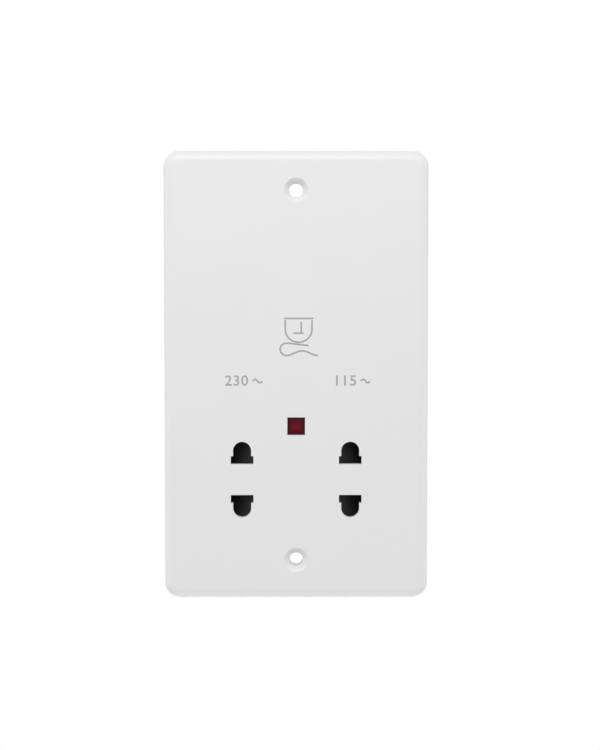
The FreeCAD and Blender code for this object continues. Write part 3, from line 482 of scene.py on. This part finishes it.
def dress_nodes(materials):
    """Give each CAD node the finish of its own slot."""
    for part in frame["record"]["subparts"]:
        node = NODES[part["node"]]
        node.data.materials.clear()
        node.data.materials.append(materials[part["material_slot"]])


def place_print(name, curve, x, z, material):
    """Turn a flat curve into a thin printed mark on the face of the plate."""
    curve.extrude = PRINT_THICK * MM / 2
    draft = bpy.data.objects.new(name, curve)
    bpy.context.scene.collection.objects.link(draft)
    bpy.context.view_layer.update()
    graph = bpy.context.evaluated_depsgraph_get()
    mesh = bpy.data.meshes.new_from_object(draft.evaluated_get(graph))
    bpy.data.objects.remove(draft)
    mark = bpy.data.objects.new(name, mesh)
    bpy.context.scene.collection.objects.link(mark)
    mark.rotation_euler = (math.pi / 2, 0, 0)
    mark.location = (x * MM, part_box("face_plate")[0].y, z * MM)
    mark.data.materials.append(material)
    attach(mark, HOUSING)
    return mark


def number_curve(text):
    """Plain digits, as high as the printed numbers."""
    curve = bpy.data.curves.new(f"number_{text}", "FONT")
    curve.body = text
    curve.align_x = "CENTER"
    curve.align_y = "CENTER"
    curve.size = NUMBER_HEIGHT / DIGIT_SHARE * MM
    curve.space_character = NUMBER_SPREAD
    curve.offset = PRINT_BOLD * MM
    return curve


def ribbon(name, paths):
    """Lines of the print's own width along the given paths, as a flat curve."""
    curve = bpy.data.curves.new(name, "CURVE")
    curve.dimensions = "2D"
    curve.fill_mode = "BOTH"
    for path in paths:
        outline = stroke(path)
        spline = curve.splines.new("POLY")
        spline.points.add(len(outline) - 1)
        for point, (u, v) in zip(spline.points, outline):
            point.co = (u * MM, v * MM, 0, 1)
        spline.use_cyclic_u = True
    return curve


def stroke(path):
    """The outline of a line of the print's own width along a path."""
    left, right = [], []
    for index, (u, v) in enumerate(path):
        before = path[max(index - 1, 0)]
        after = path[min(index + 1, len(path) - 1)]
        way = Vector((after[0] - before[0], after[1] - before[1])).normalized() * PRINT_LINE / 2
        left.append((u - way.y, v + way.x))
        right.append((u + way.y, v - way.x))
    return left + right[::-1]


def wave(left, right, z, height, start, turns, steps=32):
    """Points along a sine wave from left to right, from a given part of its turn."""
    points = []
    for step in range(steps + 1):
        share = step / steps
        angle = (start + share * turns) * math.tau
        points.append((left + share * (right - left), z + height * math.sin(angle)))
    return points


def arc(centre, width, height, start, turns, steps=24):
    """Points along an ellipse of the given half sizes, from a given part of its turn."""
    points = []
    for step in range(steps + 1):
        angle = (start + turns * step / steps) * math.tau
        points.append((centre[0] + width * math.cos(angle), centre[1] + height * math.sin(angle)))
    return points


def sign_paths():
    """The sign's strokes: a bowl under a cutter head, a slide on its front and a cord below."""
    half, top = BOWL_WIDTH / 2, BOWL_HEIGHT / 2
    depth = BOWL_ROUND * BOWL_HEIGHT
    bowl = [(-half, top), *arc((0, depth - top), half, depth, HALF_TURN, HALF_TURN), (half, top)]
    head = [(u, top + PRINT_LINE) for u in HEAD]
    slide = [(SLIDE_X, top - PRINT_LINE), (SLIDE_X, BUTTON_Z + SLIDE_GAP)]
    button = [(u, BUTTON_Z) for u in BUTTON]
    return [bowl, head, slide, button, sign_cord(-top - CORD_GAP)]


def sign_cord(z):
    """The sign's cord: to the left under the bowl, round a half turn and back in a wave."""
    upper, lower = CORD_WAVES
    turn = (CORD_LEFT, z + upper - CORD_DROP / 2)
    first = wave(CORD_LEFT, CORD_ENDS[0], z, upper, QUARTER_TURN, HALF_TURN)
    back = arc(turn, CORD_DROP / 2, CORD_DROP / 2, QUARTER_TURN, HALF_TURN)
    foot = turn[1] - CORD_DROP / 2 + lower
    last = wave(CORD_LEFT, CORD_ENDS[1], foot, lower, 3 * QUARTER_TURN, WHOLE_TURN)
    return first[:0:-1] + back + last[1:]


def printed_marks(material):
    """A plain number and a wave over each outlet, and the sign of a shaver above them."""
    lens = middle("indicator_lens")
    for text, contact in NUMBERS.items():
        x, z = middle(contact).x + NUMBER_SHIFT, lens.z + NUMBER_RISE
        mark = place_print(f"number_{text}", number_curve(text), x, z, material)
        edge = max(vertex.co.x for vertex in mark.data.vertices) / MM
        curve = ribbon(f"wave_{text}", [wave(0, WAVE_LENGTH, 0, WAVE_HEIGHT, 0, WHOLE_TURN)])
        place_print(f"wave_{text}", curve, x + edge + WAVE_GAP, z, material)
    sign = ribbon("shaver_sign", sign_paths())
    place_print("shaver_sign", sign, lens.x + SIGN_SHIFT, lens.z + SIGN_RISE, material)


def spring_strip(node, material):
    """A copy of the CAD's bowed leaf in the given material, on the housing in place of the CAD one.
    """
    strip = bpy.data.objects.new(f"{node}_strip", NODES[node].data.copy())
    bpy.context.scene.collection.objects.link(strip)
    strip.data.materials.clear()
    strip.data.materials.append(material)
    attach(strip, HOUSING)
    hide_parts(node)
    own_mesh(strip)


def add_springs(material):
    """Both centring springs, each held at its own side wall."""
    spring_strip("return_spring_left", material)
    spring_strip("return_spring_right", material)


def light_scene():
    """A white surround for what is seen, a graded sky that lights the object, and the lamps."""
    world = bpy.data.worlds.new("studio")
    bpy.context.scene.world = world
    world.use_nodes = True
    tree = world.node_tree
    tree.nodes.clear()
    rays = [add_node(tree, "ShaderNodeLightPath", {}, {}, output=ray) for ray in SEEN_RAYS]
    seen = rays[0].larger(rays[1]).larger(rays[2])
    sky = add_node(tree, "ShaderNodeBackground", {}, {"Color": WHITE, "Strength": sky_level(tree)})
    surround = add_node(tree, "ShaderNodeBackground", {}, {"Color": WHITE, "Strength": WHITE_LEVEL})
    shown = add_node(tree, "ShaderNodeMixShader", {}, {0: seen, 1: sky, 2: surround})
    output = tree.nodes.new("ShaderNodeOutputWorld")
    tree.links.new(shown.output, output.inputs["Surface"])
    for name, settings in LAMPS.items():
        add_lamp(name, **settings)


def sky_level(tree):
    """The sky's strength by height: dim below, bright in front and half as bright above."""
    way = add_node(tree, "ShaderNodeTexCoord", {}, {}, output="Generated")
    height = add_node(tree, "ShaderNodeSeparateXYZ", {}, {0: way}, output="Z")
    rise = height.ramp(*FLOOR_RAMP) * (SKY_FRONT - SKY_FLOOR)
    fall = height.ramp(*CEILING_RAMP) * (SKY_FRONT - SKY_CEILING)
    return SKY_FLOOR + rise - fall


def add_lamp(name, place, size, power):
    """A square soft lamp that points at the middle of the object."""
    lamp = bpy.data.lights.new(name, "AREA")
    lamp.shape = "SQUARE"
    lamp.size = size
    lamp.energy = power
    holder = bpy.data.objects.new(name, lamp)
    bpy.context.scene.collection.objects.link(holder)
    aim(holder, place, LAMP_TARGET)


def aim(holder, place, target):
    """Put a camera or a lamp at a place and point it at a target."""
    holder.location = place
    way = Vector(target) - Vector(place)
    holder.rotation_euler = way.to_track_quat("-Z", "Y").to_euler()


def add_camera():
    """A long lens, a little above the middle of the plate."""
    camera = bpy.data.cameras.new("camera")
    camera.sensor_fit = "VERTICAL"
    camera.sensor_height = SENSOR_HEIGHT
    camera.lens = CAMERA_LENS
    holder = bpy.data.objects.new("camera", camera)
    bpy.context.scene.collection.objects.link(holder)
    aim(holder, CAMERA_PLACE, CAMERA_TARGET)
    bpy.context.scene.camera = holder


MATERIALS = make_materials()
dress_nodes(MATERIALS)
printed_marks(MATERIALS["print_grey"])
add_springs(MATERIALS["spring_steel"])
light_scene()
add_camera()
bpy.context.scene.view_settings.view_transform = "Standard"
